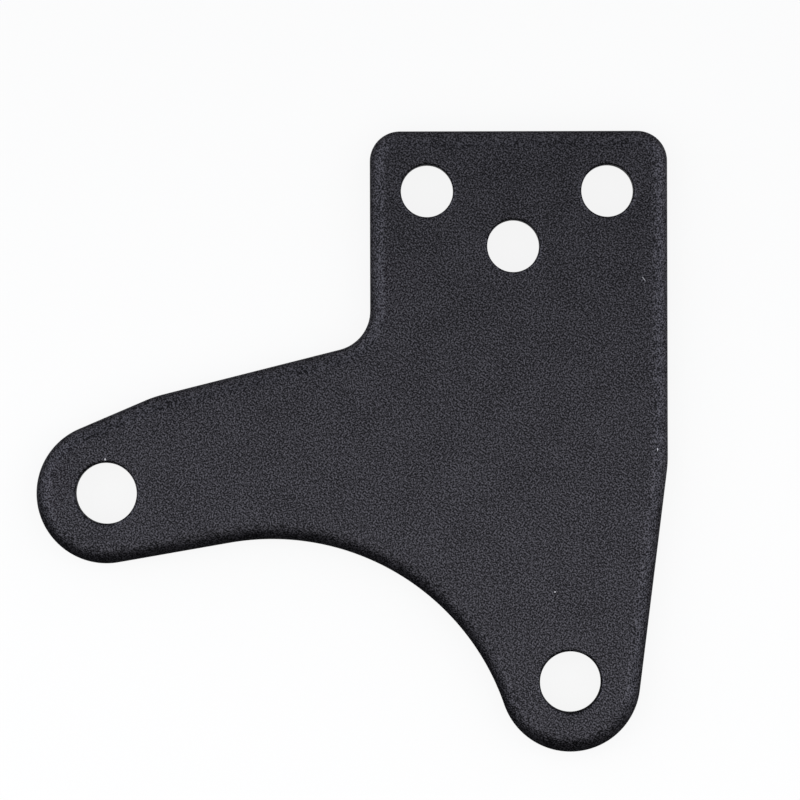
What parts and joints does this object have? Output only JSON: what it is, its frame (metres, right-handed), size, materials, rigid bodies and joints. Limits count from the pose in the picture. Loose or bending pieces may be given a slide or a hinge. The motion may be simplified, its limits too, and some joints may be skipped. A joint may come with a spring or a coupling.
{
  "type": "brake caliper bracket",
  "caption": "Flat steel bracket: a tab bolts to the frame, and the ends of its arm and leg, either side of an arch, carry a disc brake caliper.",
  "frame": {"origin": "midway between the two upper frame holes, on the back face of the plate", "axes": "+X along the two upper frame holes, from the arm's side to the leg's side; +Y to the top edge of the tab; +Z out of the front face"},
  "size_m": [0.0631, 0.062, 0.004],
  "materials": {
    "coated_steel": "black powder coat with a fine grained texture"
  },
  "bodies": {
    "root": {"caliper_bracket": "coated_steel"}
  },
  "joints": []
}
